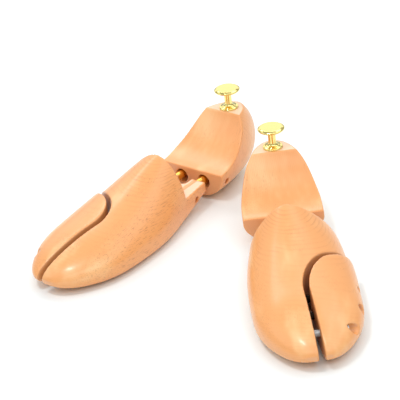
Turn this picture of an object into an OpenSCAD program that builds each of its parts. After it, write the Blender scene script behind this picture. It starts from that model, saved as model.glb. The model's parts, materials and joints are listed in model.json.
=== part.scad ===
// Pair of sprung shoe stretchers (shoe trees), left and right, standing side by side.
// Each tree has its own frame: X runs to the toe from the front face of the heel block,
// Y runs to the side of the movable toe wedge, and Z runs up from the surface below.

/* [Placing of the pair] */
// Across: face of the left heel block from the middle of the pair
left_x = 10.8; // [0:0.1:20]
// Along: face of the left heel block from the middle of the pair
left_y = 122; // [115:0.1:130]
// Direction of the left toe, in degrees
left_yaw = 228.3; // [222:0.1:235]
// Across: face of the right heel block from the middle of the pair
right_x = 88.1; // [84:0.1:100]
// Along: face of the right heel block from the middle of the pair
right_y = 9.4; // [0:0.1:15]
// Direction of the right toe, in degrees
right_yaw = 270; // [268:0.5:276]

/* [Forepart lengths] */
// From the heel block's face to the tip of the toe
toe_reach = 204; // [192:1:220]
// From the heel block's face to the rear end of the tongue
tongue_gap = 10; // [8.5:0.5:14]
// From the heel block's face to the upright face of the instep
instep_x = 45; // [40:0.5:52]
// Station of the waist
waist_x = 85; // [78:1:92]
// Station of the ball, where the forepart is widest
ball_x = 125; // [118:1:132]
// Station of the vamp
vamp_x = 160; // [152:1:166]
// Where the rounding of the toe starts
round_x = 143; // [134:1:150]

/* [Forepart widths from the middle line] */
// Tongue, wedge side
tongue_in = 28; // [26:0.5:31]
// Tongue, plain side
tongue_out = 26; // [24.5:0.5:29]
// Instep, wedge side
instep_in = 42.8; // [38:0.2:46]
// Instep, plain side
instep_out = 30; // [28:0.5:34]
// Waist, wedge side
waist_in = 46.8; // [42:0.5:50]
// Waist, plain side
waist_out = 39.3; // [36:0.5:43]
// Ball, wedge side
ball_in = 47.2; // [44:0.2:50]
// Ball, plain side
ball_out = 41.5; // [38:0.5:45]
// Vamp, wedge side
vamp_in = 45.4; // [42:0.2:48]
// Vamp, plain side
vamp_out = 39.2; // [36:0.5:43]
// Sideways place of the toe's tip
tip_y = 3; // [0:0.5:8]

/* [Forepart heights] */
// Instep at its cut face
instep_h = 66.6; // [60:0.5:72]
// Waist
waist_h = 53.7; // [49:0.5:58]
// Ball
ball_h = 44; // [41:0.5:48]
// Vamp
vamp_h = 38; // [35:0.5:42]
// Middle of the toe's rounded nose
tip_h = 13.9; // [12:0.5:17]
// Flat top of the forked tongue
tongue_h = 26.2; // [25.8:0.1:29]

/* [Tongue] */
// Half width of the fork between the two prongs
fork_w = 8.2; // [6:0.2:8.4]
// From the heel block's face to the bottom of the fork
fork_x = 22.5; // [20:0.5:24]
// Corner radius of the fork
fork_r = 5; // [3:0.5:6]

/* [Split toe, left tree] */
// Sideways place of the saw cut at the toe
left_cut_y = 9.6; // [7:0.2:10]
// Slant of the saw cut from the middle line, in degrees
left_cut_slant = 11.6; // [9:0.2:13]
// From the tip of the toe back to the bend of the saw cut
left_cut_run = 65.4; // [60:0.2:69]
// Radius of the bend
left_cut_bend_r = 34; // [30:1:38]
// Angle of the bend, in degrees
left_cut_bend_angle = 70; // [62:1:74]
// How far the wedge stands out when its springs are at rest
left_toe_open = 4.2; // [4:0.1:6]
// How much fuller the plain side is below the instep
left_swell = 0; // [0:0.2:6]

/* [Split toe, right tree] */
// Sideways place of the saw cut at the toe
right_cut_y = 6.2; // [4:0.2:8]
// Slant of the saw cut from the middle line, in degrees
right_cut_slant = 3; // [2:0.5:6]
// From the tip of the toe back to the bend of the saw cut
right_cut_run = 61; // [58:1:64]
// Radius of the bend
right_cut_bend_r = 55; // [50:1:58]
// Angle of the bend, in degrees
right_cut_bend_angle = 58; // [54:1:62]
// How far the wedge stands out when its springs are at rest
right_toe_open = 3.6; // [3.6:0.1:5]
// How much fuller the plain side is below the instep
right_swell = 4.8; // [0:0.2:6]

/* [Split toe, both trees] */
// Width of the saw cut
kerf = 1.2; // [0.8:0.1:2]

/* [Guide pins of the wedge] */
// Diameter of a guide pin
guide_d = 6; // [5:0.1:6.6]
// Length of a spring-loaded guide pin under its head
guide_len = 41.5; // [40:0.5:44]
// Diameter of the pin's head
guide_head_d = 8.4; // [7.6:0.2:8.8]
// Height of the pin's head
guide_head_h = 2.5; // [1.5:0.1:3.5]
// Diameter of the counterbore in the wedge's side
counterbore_d = 9.2; // [9.1:0.1:10.6]
// From the middle line to the seat of the heads with the wedge closed
guide_seat = 27.5; // [26:0.5:29]
// From the tip of the toe back to the front guide pin
guide_front_run = 27; // [24:1:31]
// Distance between neighbouring guide pins
guide_pitch = 26; // [22:0.5:28]
// Height of the guide pins
guide_z = 19.5; // [17:0.5:21]
// Depth of the guide bores from the middle line
guide_bore_y = 21; // [19:0.5:22]

/* [Tubes] */
// Outer diameter of a brass tube
tube_d = 8.4; // [7.6:0.1:8.6]
// Wall of a brass tube
tube_wall = 0.7; // [0.5:0.1:1]
// Half the distance between the two tubes
tube_y = 13.4; // [13.2:0.1:14.2]
// Height of the tubes
tube_z = 21; // [20.6:0.1:21.1]
// Front end of a tube from the heel block's face
tube_front = 44; // [42:0.5:48]
// Rear end of a tube behind the heel block's face
tube_rear = 14; // [12.5:0.5:15]
// How far the heel block can be pushed towards the forepart
travel = 8; // [6:0.1:8]

/* [Cross pins] */
// Diameter of both cross pins
cross_d = 4; // [3:0.1:4.2]
// Length of the tongue's cross pin
tongue_pin_len = 38; // [34:0.5:40]
// Length of the heel block's cross pin
heel_pin_len = 56; // [48:0.5:60]
// Diameter of the wider mouths of the cross bores
mouth_d = 6.4; // [5:0.1:7]
// Station of the tongue's cross pin
tongue_pin_x = 27; // [26:0.5:28]
// Distance of the heel block's cross pin behind its face
heel_pin_x = 9; // [7.5:0.5:10]

/* [Springs] */
// Outer diameter of the two main springs
main_spring_d = 7.4; // [6.6:0.1:7.6]
// Wire of the main springs
main_wire = 1.1; // [0.8:0.05:1.3]
// Length of a main spring at rest
main_spring_len = 22; // [20:0.5:24]
// Outer diameter of the toe springs
toe_spring_d = 5.2; // [4.4:0.1:5.4]
// Wire of the toe springs
toe_wire = 0.8; // [0.6:0.05:0.9]

/* [Heel block] */
// From the front face to the back
heel_len = 91.5; // [86:0.5:98]
// Half width at the front face
heel_face_w = 36.7; // [35:0.1:40]
// Half width 40 mm behind the front face
heel_mid_w = 33.1; // [31:0.2:36]
// Half width 80 mm behind the front face, before rounding
heel_back_w = 25.9; // [24:0.2:29]
// Height of the front edge
heel_edge_h = 30.5; // [29:0.5:34]
// Height of the top plate
plate_h = 66.4; // [62:0.2:70]
// Front edge of the top plate behind the front face
plate_x = 55; // [52:0.5:58]
// Radius of the hollow saddle
saddle_r = 68; // [62:1:80]
// Diameter of the holes for the tubes
heel_hole_d = 13.6; // [13:0.1:14]
// Height of the holes for the tubes
heel_hole_z = 19.3; // [19:0.1:19.6]
// Depth of the holes for the tubes
heel_hole_depth = 22; // [19:0.5:26]

/* [Knob] */
// Station of the knob behind the front face
knob_x = 65.3; // [62:0.5:70]
// Diameter of the knob's head
knob_d = 25; // [20:0.5:28]
// Height of the knob's head
knob_head_h = 3.2; // [2.6:0.1:5]
// Diameter of the knob's foot
knob_foot_d = 18.6; // [14:0.2:20]
// Height of the knob's foot
knob_foot_h = 1.8; // [1.5:0.1:3]
// Diameter of the knob's neck at its waist
knob_neck_d = 7.2; // [6.6:0.1:9]
// Height of the whole knob
knob_h = 21; // [18:0.5:26]
// Diameter of the steel stud that holds the knob
stud_d = 5; // [4:0.1:5.4]
// Depth of the stud in the heel block
stud_depth = 26; // [18:0.5:30]

/* [Hidden] */

$fn = 48;
beech = "#F4BE8A";
brass = "#E8C24A";
steel = "#B9BCC0";
running = 0.06;
seat_gap = 0.2;
sole_cut = 0.8;
reach = toe_reach + heel_len;

// Smooth curve through stations
function place_in(xs, x, i = 0) = i >= len(xs) - 2 || x < xs[i + 1] ? i : place_in(xs, x, i + 1);
function slope_at(xs, ys, i) =
    let (a = max(i - 1, 0), b = min(i + 1, len(xs) - 1))
    (ys[b] - ys[a]) / (xs[b] - xs[a]);
function curve_at(xs, ys, x) =
    let (i = place_in(xs, x), h = xs[i + 1] - xs[i], t = (x - xs[i]) / h)
    (2 * t ^ 3 - 3 * t ^ 2 + 1) * ys[i]
    + (t ^ 3 - 2 * t ^ 2 + t) * h * slope_at(xs, ys, i)
    + (3 * t ^ 2 - 2 * t ^ 3) * ys[i + 1]
    + (t ^ 3 - t ^ 2) * h * slope_at(xs, ys, i + 1);

// Rounded cross section: [left, right, top, middle, bottom, centre]. Its upper quarters are
// ellipses that narrow towards the top, and its lower quarters are squarer by a power.
function power(v, n) = sign(v) * abs(v) ^ (2 / n);
function ring(x, s, shape, count) = [
    for (i = [0 : count - 1])
        let (
            a = 360 * i / count,
            taper = shape[cos(a) >= 0 ? 0 : 1],
            side = cos(a) >= 0 ? s[0] - s[5] : s[1] + s[5]
        )
        sin(a) >= 0
            ? [x, s[5] + cos(a) * (1 - taper * sin(a) ^ 2) * side, s[3] + sin(a) * (s[2] - s[3])]
            : [x, s[5] + power(cos(a), shape[2]) * side, s[3] + power(sin(a), shape[2]) * (s[3] - s[4])]
];

// Solid through rings of equal count, with a flat start and a pointed end
module loft(rings, tip) {
    count = len(rings[0]);
    last = len(rings) - 1;
    points = concat([for (r = rings) each r], [tip]);
    start = [for (i = [0 : count - 1]) i];
    sides = [
        for (k = [0 : last - 1], i = [0 : count - 1])
            let (j = (i + 1) % count, a = k * count, b = a + count)
            each [[a + i, b + i, b + j], [a + i, b + j, a + j]]
    ];
    end = [for (i = [0 : count - 1]) [last * count + i, len(points) - 1, last * count + (i + 1) % count]];
    polyhedron(points, concat([start], sides, end));
}

// Stations of the forepart
nose_x = vamp_x + 30;
fore_xs = [tongue_gap - 2, instep_x, waist_x, ball_x, vamp_x, nose_x];
fore_in = [tongue_in, instep_in, waist_in, ball_in, vamp_in, vamp_in - 5];
fore_out = [tongue_out, instep_out, waist_out, ball_out, vamp_out, vamp_out - 4.8];
fore_top = [instep_h + 8, instep_h, waist_h, ball_h, vamp_h, vamp_h - 4];
fore_mid = [21, 20, 18.5, 17, 15.8, 15];
fore_low = [12, 0.6, -sole_cut, -sole_cut, -sole_cut, -sole_cut];
fore_in_taper = [0.34, 0.34, 0.2, 0.11, 0.11, 0.11];
fore_out_taper = 0.11;
fore_low_n = [3, 3.4, 4, 3.8, 3.2, 3];
swell_share = [0.2, 1, 0.3, 0, 0, 0];
swell_taper = 0.042;
toe_in_power = 0.78;
toe_out_power = 0.94;
toe_height_power = 0.98;

// Share of the full section that the rounding of an end leaves at x
function rounding(x, from, to, power_of) =
    x <= from ? 1 : max(1 - ((x - from) / (to - from)) ^ 2, 0) ^ (power_of / 2);
function swell_at(x, swell) = swell * curve_at(fore_xs, swell_share, x);
function fore_section(x, swell) =
    let (
        ci = rounding(x, round_x, toe_reach, toe_in_power),
        co = rounding(x, round_x, toe_reach, toe_out_power),
        ch = rounding(x, round_x, toe_reach, toe_height_power),
        centre = tip_y * (1 - co)
    )
    [
        tip_y + (curve_at(fore_xs, fore_in, x) - tip_y) * ci,
        -tip_y + (curve_at(fore_xs, fore_out, x) + tip_y) * co + swell_at(x, swell),
        tip_h + (curve_at(fore_xs, fore_top, x) - tip_h) * ch,
        tip_h + (curve_at(fore_xs, fore_mid, x) - tip_h) * ch,
        tip_h + (curve_at(fore_xs, fore_low, x) - tip_h) * ch,
        centre
    ];

function fore_shape(x, swell) = [
    curve_at(fore_xs, fore_in_taper, x),
    fore_out_taper + swell_taper * swell_at(x, swell),
    curve_at(fore_xs, fore_low_n, x)
];

fore_count = 44;
fore_steps = 15;
toe_steps = 13;
fore_stations = concat(
    [for (i = [0 : fore_steps - 1]) tongue_gap + (round_x - tongue_gap) * i / fore_steps],
    [for (i = [0 : toe_steps - 1]) round_x + (toe_reach - round_x) * sin(90 * i / toe_steps)]
);

module fore_form(swell) {
    difference() {
        loft(
            [for (x = fore_stations) ring(x, fore_section(x, swell), fore_shape(x, swell), fore_count)],
            [toe_reach, tip_y, tip_h]
        );
        translate([-reach / 2, -reach / 2, -reach])
            cube([2 * reach, reach, reach]);
    }
}

// Saw cut between the forepart and its wedge, as an outline seen from above: it comes
// back from the toe, bends outwards and runs out at the wedge's side
left_cut = [left_cut_run, left_cut_y, left_cut_slant, left_cut_bend_r, left_cut_bend_angle, left_toe_open, left_swell];
right_cut = [right_cut_run, right_cut_y, right_cut_slant, right_cut_bend_r, right_cut_bend_angle, right_toe_open, right_swell];
cut_steps = 16;
cut_tail = 100;
function cut_line(cut, gap) =
    let (
        slant = cut[2],
        bend = [toe_reach - cut[0], cut[1] - cut[0] * tan(slant)],
        hub = bend + cut[3] * [-sin(slant), cos(slant)],
        r = cut[3] - gap,
        out = slant - 90 - cut[4]
    )
    concat(
        [hub + r * [sin(slant), -cos(slant)] + cut_tail * [cos(slant), sin(slant)]],
        [
            for (i = [0 : cut_steps])
                let (a = slant - 90 - cut[4] * i / cut_steps)
                hub + r * [cos(a), sin(a)]
        ],
        [hub + r * [cos(out), sin(out)] + cut_tail * [sin(out), -cos(out)]]
    );

module cut_zone(cut, gap) {
    translate([0, 0, -1])
        linear_extrude(height = 2 * instep_h)
            polygon(concat(cut_line(cut, gap), [[reach, reach / 2]]));
}

// Guide pins at the ends and the stop screw between them
screw_x = toe_reach - guide_front_run - guide_pitch;
guide_xs = [screw_x + guide_pitch, screw_x - guide_pitch];

// Straight bore across the tree, from one sideways place to another
module bore_across(x, z, d, from, to) {
    translate([x, from, z])
        rotate([-90, 0, 0])
            cylinder(h = to - from, d = d);
}

// Straight bore along the tree
module bore_along(y, z, d, from, to) {
    translate([from, y, z])
        rotate([0, 90, 0])
            cylinder(h = to - from, d = d);
}

tongue_pin_z = tube_z - tube_d / 2 - 0.8;
bore_end = tube_front + main_spring_len + 2 * seat_gap;

module forepart(cut) {
    color(beech)
        difference() {
            fore_form(cut[6]);
            cut_zone(cut, 0);
            translate([tongue_gap - 1, -reach / 2, tongue_h])
                cube([instep_x - tongue_gap + 1, reach, reach]);
            fork();
            for (side = [-1, 1])
                bore_along(side * tube_y, tube_z, tube_d + 2 * running, tongue_gap - 1, bore_end);
            bore_across(tongue_pin_x, tongue_pin_z, cross_d + 2 * running, -reach / 4, reach / 4);
            pin_mouths(tongue_pin_x, tongue_pin_z, tongue_pin_len / 2 + 0.3);
            for (x = concat(guide_xs, [screw_x]))
                bore_across(x, guide_z, guide_d + 2 * running, -guide_bore_y, reach / 4);
        }
}

// Wider ends of a cross bore, from a sideways place outwards
module pin_mouths(x, z, from) {
    bore_across(x, z, mouth_d, from, reach / 4);
    bore_across(x, z, mouth_d, -reach / 4, -from);
}

// Open fork between the prongs, with rounded corners at its bottom
module fork() {
    translate([0, 0, -1])
        linear_extrude(height = tongue_h + 2)
            union() {
                translate([tongue_gap - 1, -fork_w])
                    square([fork_x - fork_r - tongue_gap + 1, 2 * fork_w]);
                translate([fork_x - fork_r - 0.01, -fork_w + fork_r])
                    square([fork_r + 0.01, 2 * (fork_w - fork_r)]);
                for (side = [-1, 1])
                    translate([fork_x - fork_r, side * (fork_w - fork_r)])
                        circle(r = fork_r);
            }
}

module toe_wedge(cut) {
    color(beech)
        translate([0, cut[5], 0])
            difference() {
                intersection() {
                    fore_form(cut[6]);
                    cut_zone(cut, kerf);
                }
                for (x = concat(guide_xs, [screw_x])) {
                    bore_across(x, guide_z, guide_d + 2 * running, -reach / 4, guide_seat + 1);
                    bore_across(x, guide_z, counterbore_d, guide_seat, reach / 4);
                }
            }
}

// Headed pin across the tree; its head sits in the wedge's counterbore
module headed_pin(x, open, length) {
    color(steel)
        translate([x, guide_seat + open, guide_z])
            rotate([90, 0, 0])
                union() {
                    translate([0, 0, -guide_head_h])
                        cylinder(h = guide_head_h, d = guide_head_d);
                    translate([0, 0, -guide_head_h / 2])
                        cylinder(h = length + guide_head_h / 2, d = guide_d);
                }
}

module guide_pin(cut, x) {
    headed_pin(x, cut[5], guide_len);
}

// The stop screw is fixed in the forepart and its head holds the wedge back
module stop_screw(cut) {
    headed_pin(screw_x, cut[5], guide_seat + cut[5] + guide_bore_y - seat_gap);
}

// Coil spring along Z as one tube; its least gap to itself is printed
curl_rings = 8;
wire_sides = 6;
function coil_point(r, h, turns, k) =
    let (t = k / (turns * curl_rings))
    [r * cos(360 * k / curl_rings), r * sin(360 * k / curl_rings), h * t];
function coil_gap(r, h, turns, wire) =
    let (n = turns * curl_rings)
    min([
        for (i = [0 : n], j = [i + curl_rings / 2 : max(n, i + curl_rings / 2)])
            if (j <= n) norm(coil_point(r, h, turns, i) - coil_point(r, h, turns, j))
    ]) - wire;

module coil(d, wire, length, turns) {
    r = (d - wire) / 2;
    rise = length - wire;
    n = turns * curl_rings;
    echo("least gap of a coil to itself", coil_gap(r, rise, turns, wire));
    points = [
        for (k = [0 : n], s = [0 : wire_sides - 1])
            let (
                a = 360 * k / curl_rings,
                b = 360 * s / wire_sides,
                c = coil_point(r, rise, turns, k)
            )
            c + wire / 2 * [cos(b) * cos(a), cos(b) * sin(a), sin(b)] + [0, 0, wire / 2]
    ];
    sides = [
        for (k = [0 : n - 1], s = [0 : wire_sides - 1])
            let (t = (s + 1) % wire_sides, a = k * wire_sides, b = a + wire_sides)
            each [[a + s, b + t, b + s], [a + s, a + t, b + t]]
    ];
    first = [for (s = [0 : wire_sides - 1]) s];
    final = [for (s = [wire_sides - 1 : -1 : 0]) n * wire_sides + s];
    polyhedron(points, concat([first], sides, [final]));
}

main_turns = 6;
toe_turns = 4;

module main_spring(side) {
    color(steel)
        translate([tube_front + seat_gap, side * tube_y, tube_z])
            rotate([0, 90, 0])
                coil(main_spring_d, main_wire, main_spring_len, main_turns);
}

module toe_spring(cut, x) {
    length = guide_bore_y + guide_seat + cut[5] - guide_len - 2 * seat_gap;
    color(steel)
        translate([x, -guide_bore_y + seat_gap, guide_z])
            rotate([-90, 0, 0])
                coil(toe_spring_d, toe_wire, length, toe_turns);
}

// Brass tube with the slot that the tongue's cross pin runs in
slot_rear = tongue_pin_x - cross_d / 2 - 0.1 - travel;
slot_front = tongue_pin_x + cross_d / 2 + 0.1;
slot_top = tongue_pin_z + cross_d / 2 + 0.1;

module tube(side) {
    color(brass)
        difference() {
            bore_along(side * tube_y, tube_z, tube_d, -tube_rear, tube_front);
            bore_along(side * tube_y, tube_z, tube_d - 2 * tube_wall, -tube_rear - 1, tube_front + 1);
            bore_across(-heel_pin_x, tube_z, cross_d + 2 * running, -reach / 4, reach / 4);
            translate([slot_rear, side * tube_y - tube_d, tube_z - tube_d])
                cube([slot_front - slot_rear, 2 * tube_d, slot_top - tube_z + tube_d]);
        }
}

cap_len = 3;

module tube_caps() {
    color(brass)
        for (side = [-1, 1])
            bore_along(side * tube_y, tube_z, tube_d - 2 * tube_wall - 0.04, tube_front - cap_len, tube_front);
}

module cross_pin(x, z, length) {
    color(steel)
        bore_across(x, z, cross_d, -length / 2, length / 2);
}

// Stations of the heel block, as distances behind its face
heel_xs = [0, 20, 40, 60, 80];
heel_w = [
    heel_face_w, heel_face_w - 0.4, heel_mid_w,
    (heel_mid_w + heel_back_w) / 2 - 0.3, heel_back_w
];
heel_mid = [24, 28.5, 31, 32.2, 33.5];
heel_low = [1.5, -sole_cut, -sole_cut, 1.6, 4.5];
heel_top = plate_h + 13.6;
heel_shape = [-0.05, -0.05, 1.8];
heel_round_x = heel_len / 2;
heel_tip_h = 37.7;
heel_power = 0.96;

function heel_section(x) =
    let (c = rounding(x, heel_round_x, heel_len, heel_power), w = curve_at(heel_xs, heel_w, min(x, 80)) * c)
    [
        w, w,
        heel_tip_h + (heel_top - heel_tip_h) * c,
        heel_tip_h + (curve_at(heel_xs, heel_mid, min(x, 80)) - heel_tip_h) * c,
        heel_tip_h + (curve_at(heel_xs, heel_low, min(x, 80)) - heel_tip_h) * c,
        0
    ];

heel_count = 40;
heel_steps = 6;
back_steps = 11;
heel_stations = concat(
    [for (i = [0 : heel_steps - 1]) heel_round_x * i / heel_steps],
    [for (i = [0 : back_steps - 1]) heel_round_x + (heel_len - heel_round_x) * sin(90 * i / back_steps)]
);

// Centre of the saddle's hollow, which passes the front edge and the plate's edge
saddle_mid = [plate_x / 2, (heel_edge_h + plate_h) / 2];
saddle_chord = [plate_x, plate_h - heel_edge_h];
saddle_rise = sqrt(saddle_r ^ 2 - (norm(saddle_chord) / 2) ^ 2);
saddle_hub = saddle_mid + saddle_rise * [-saddle_chord[1], saddle_chord[0]] / norm(saddle_chord);

module heel_form() {
    mirror([1, 0, 0])
        difference() {
            loft(
                [for (x = heel_stations) ring(x, heel_section(x), heel_shape, heel_count)],
                [heel_len, 0, heel_tip_h]
            );
            translate([-reach / 2, -reach / 2, -reach])
                cube([2 * reach, reach, reach]);
            translate([-1, -reach / 2, plate_h])
                cube([reach, reach, reach]);
            bore_across(saddle_hub[0], saddle_hub[1], 2 * saddle_r, -reach / 2, reach / 2);
        }
}

module heel_block() {
    color(beech)
        difference() {
            heel_form();
            for (side = [-1, 1])
                bore_along(side * tube_y, heel_hole_z, heel_hole_d, -heel_hole_depth, 1);
            bore_across(-heel_pin_x, tube_z, cross_d + 2 * running, -reach / 4, reach / 4);
            pin_mouths(-heel_pin_x, tube_z, heel_pin_len / 2 + 0.3);
            translate([-knob_x, 0, plate_h - stud_depth - 0.3])
                cylinder(h = stud_depth + 1, d = stud_d + 2 * running);
        }
}

// Turned brass knob: foot, waisted neck and a rounded head
stud_in_knob = 9;
neck_steps = 10;

module knob() {
    foot_r = knob_foot_d / 2;
    neck_r = knob_neck_d / 2;
    head_r = knob_d / 2;
    head_z = knob_h - knob_head_h;
    rim = min(1.4, knob_head_h / 2.2);
    neck = [
        for (i = [0 : neck_steps])
            let (t = i / neck_steps, z = knob_foot_h + (head_z - knob_foot_h) * t)
            [neck_r + 3.2 * (abs(2 * t - 1)) ^ 5, z]
    ];
    rim_low = [for (a = [-90 : 30 : 0]) [head_r - rim + rim * cos(a), head_z + rim + rim * sin(a)]];
    rim_top = [for (a = [0 : 30 : 90]) [head_r - rim + rim * cos(a), knob_h - rim + rim * sin(a)]];
    foot_rim = [for (a = [0 : 30 : 90]) [foot_r - 1 + cos(a), knob_foot_h - 1 + sin(a)]];
    color(brass)
        translate([-knob_x, 0, plate_h])
            difference() {
                rotate_extrude()
                    polygon(concat([[0, 0], [foot_r, 0]], foot_rim, neck, rim_low, rim_top, [[0, knob_h]]));
                translate([0, 0, -1])
                    cylinder(h = stud_in_knob + 1.3, d = stud_d + 2 * running);
            }
}

module knob_stud() {
    color(steel)
        translate([-knob_x, 0, plate_h - stud_depth])
            cylinder(h = stud_depth + stud_in_knob, d = stud_d);
}

module left() {
    translate([left_x, left_y, 0])
        rotate([0, 0, left_yaw])
            mirror([0, 1, 0])
                children();
}

module right() {
    translate([right_x, right_y, 0])
        rotate([0, 0, right_yaw])
            children();
}

left() forepart(left_cut);  // left_forepart
left() toe_wedge(left_cut);  // left_toe_wedge
left() heel_block();  // left_heel_block
left() knob();  // left_knob
left() knob_stud();  // left_knob_stud
left() tube(1);  // left_tube_wedge_side
left() tube(-1);  // left_tube_plain_side
left() tube_caps();  // left_tube_caps
left() main_spring(1);  // left_main_spring_wedge_side
left() main_spring(-1);  // left_main_spring_plain_side
left() cross_pin(tongue_pin_x, tongue_pin_z, tongue_pin_len);  // left_tongue_pin
left() cross_pin(-heel_pin_x, tube_z, heel_pin_len);  // left_heel_pin
left() guide_pin(left_cut, guide_xs[0]);  // left_guide_pin_front
left() guide_pin(left_cut, guide_xs[1]);  // left_guide_pin_rear
left() toe_spring(left_cut, guide_xs[0]);  // left_toe_spring_front
left() stop_screw(left_cut);  // left_stop_screw
left() toe_spring(left_cut, guide_xs[1]);  // left_toe_spring_rear
right() forepart(right_cut);  // right_forepart
right() toe_wedge(right_cut);  // right_toe_wedge
right() heel_block();  // right_heel_block
right() knob();  // right_knob
right() knob_stud();  // right_knob_stud
right() tube(1);  // right_tube_wedge_side
right() tube(-1);  // right_tube_plain_side
right() tube_caps();  // right_tube_caps
right() main_spring(1);  // right_main_spring_wedge_side
right() main_spring(-1);  // right_main_spring_plain_side
right() cross_pin(tongue_pin_x, tongue_pin_z, tongue_pin_len);  // right_tongue_pin
right() cross_pin(-heel_pin_x, tube_z, heel_pin_len);  // right_heel_pin
right() guide_pin(right_cut, guide_xs[0]);  // right_guide_pin_front
right() guide_pin(right_cut, guide_xs[1]);  // right_guide_pin_rear
right() toe_spring(right_cut, guide_xs[0]);  // right_toe_spring_front
right() stop_screw(right_cut);  // right_stop_screw
right() toe_spring(right_cut, guide_xs[1]);  // right_toe_spring_rear
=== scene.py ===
"""Dresses a pair of sprung beech shoe trees: smooth sanded wood, turned brass knobs, brass tubes,
steel pins, and the plain white stage that they stand on."""

import json
import math

import bmesh
import bpy
import numpy as np
from bpy.props import FloatProperty, FloatVectorProperty, IntProperty, PointerProperty
from mathutils import Matrix, Vector


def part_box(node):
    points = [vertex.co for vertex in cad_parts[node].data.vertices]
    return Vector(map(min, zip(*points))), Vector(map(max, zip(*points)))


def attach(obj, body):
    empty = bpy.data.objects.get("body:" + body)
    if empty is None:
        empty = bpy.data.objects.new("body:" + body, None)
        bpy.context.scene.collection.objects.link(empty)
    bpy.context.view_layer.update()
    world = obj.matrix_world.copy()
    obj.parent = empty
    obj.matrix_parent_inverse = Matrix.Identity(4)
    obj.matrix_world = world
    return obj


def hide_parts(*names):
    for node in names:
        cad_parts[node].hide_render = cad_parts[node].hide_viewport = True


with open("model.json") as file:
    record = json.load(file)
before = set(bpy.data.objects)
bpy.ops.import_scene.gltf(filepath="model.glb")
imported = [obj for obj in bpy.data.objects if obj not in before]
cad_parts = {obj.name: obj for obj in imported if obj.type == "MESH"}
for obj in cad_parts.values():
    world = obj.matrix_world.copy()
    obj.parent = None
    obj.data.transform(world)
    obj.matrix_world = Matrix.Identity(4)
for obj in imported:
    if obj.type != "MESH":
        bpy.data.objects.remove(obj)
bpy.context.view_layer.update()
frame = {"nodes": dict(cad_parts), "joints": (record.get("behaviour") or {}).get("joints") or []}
JOINTS = {joint["name"]: joint for joint in frame["joints"]}

bl_info = {
    "name": "Sprung shoe trees",
    "version": (1, 0, 0),
    "blender": (4, 5, 0),
    "location": "3D View > Sidebar > Shoe trees",
    "description": "Models the looks of a pair of split-toe beech shoe trees with brass knobs",
    "category": "Object",
}

MM = 0.001
SIDES = ("left", "right")

# Forepart, in millimetres of the tree's own frame: X from the heel block's face to the toe,
# Y to the wedge's side, Z up. It has the solid's form at a finer pitch, but the tongue's rear corner
# on the plain side is 1.8 mm further in, where the heel block hides it as in the photograph.
FORE_X = (8, 45, 85, 125, 160, 190)
FORE_IN = (28, 42.8, 46.8, 47.2, 45.4, 40.4)
FORE_OUT = (24.2, 30, 39.3, 41.5, 39.2, 34.4)
FORE_TOP = (74.6, 66.6, 53.7, 44, 38, 34)
FORE_MID = (21, 20, 18.5, 17, 15.8, 15)
FORE_LOW = (12, 0.6, -0.8, -0.8, -0.8, -0.8)
FORE_IN_TAPER = (0.34, 0.34, 0.2, 0.11, 0.11, 0.11)
FORE_OUT_TAPER = 0.11
FORE_LOW_POWER = (3, 3.4, 4, 3.8, 3.2, 3)
SWELL_SHARE, SWELL_TAPER = (0.2, 1, 0.3, 0, 0, 0), 0.042
TONGUE_X, ROUND_X, TOE_X = 10, 143, 204
TIP_Y, TIP_Z = 3, 13.9
TOE_IN_POWER, TOE_OUT_POWER, TOE_HEIGHT_POWER = 0.78, 0.94, 0.98
INSTEP_X, TONGUE_TOP = 45, 26.2
FORK_HALF, FORK_X, FORK_RADIUS = 8.2, 22.5, 5

# Saw cut of the toe. The wedge stands open by its springs, and the plain side may be fuller below
# the instep.
KERF = 1.2
CUTS = {
    "left": {
        "bend_x": 138.6, "toe_y": 9.6, "slant": 11.6, "radius": 34, "angle": 70,
        "open": 4.2, "swell": 0,
    },
    "right": {
        "bend_x": 143, "toe_y": 6.2, "slant": 3, "radius": 55, "angle": 58,
        "open": 3.6, "swell": 4.8,
    },
}

# Heel block, as distances behind its face
HEEL_X = (0, 20, 40, 60, 80)
HEEL_HALF = (36.7, 36.3, 33.1, 29.2, 25.9)
HEEL_MID = (24, 28.5, 31, 32.2, 33.5)
HEEL_LOW = (1.5, -0.8, -0.8, 1.6, 4.5)
HEEL_TOP, HEEL_TIP_Z, HEEL_LENGTH = 80, 37.7, 91.5
HEEL_POWER, HEEL_TAPER, HEEL_LOW_POWER = 0.96, -0.05, 1.8
EDGE_Z, PLATE_X, PLATE_Z, SADDLE_RADIUS = 30.5, 55, 66.4, 68

# Bores and pins
TUBE_D, TUBE_Y, TUBE_Z, TUBE_FRONT, SPRING_ROOM = 8.4, 13.4, 21, 44, 22.4
TONGUE_PIN_X, TONGUE_PIN_Z, HEEL_PIN_X = 27, 16, 9
CROSS_D, MOUTH_D, PIN_END_GAP = 4, 6.4, 0.3
TONGUE_PIN_LENGTH, HEEL_PIN_LENGTH = 38, 56
HEEL_HOLE_D, HEEL_HOLE_Z, HEEL_HOLE_DEPTH = 13.6, 19.3, 22
GUIDE_XS, GUIDE_Z, GUIDE_D = (177, 125, 151), 19.5, 6
GUIDE_SEAT, COUNTERBORE_D, GUIDE_BORE_Y = 27.5, 9.2, 21

# Turned outline of the knob: the foot's rounded edge, its slope up to the neck as a distance from the
# neck and a height, the hollows below and above the neck, and the head's rim and low crown
KNOB_X = 65.3
FOOT_EDGE, FOOT_SLOPE = 0.9, (3.0, 1.95)
LOW_HOLLOW, LOW_HOLLOW_Z, HIGH_HOLLOW = 3.6, 5.6, 2.2
HEAD_THICK, HEAD_RIM = 3.2, 1.3
CROWN_ROUND, CROWN_IN, CROWN_DROP, CROWN_FLAT = 1.5, 2.6, 1.6, 0.6

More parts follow.
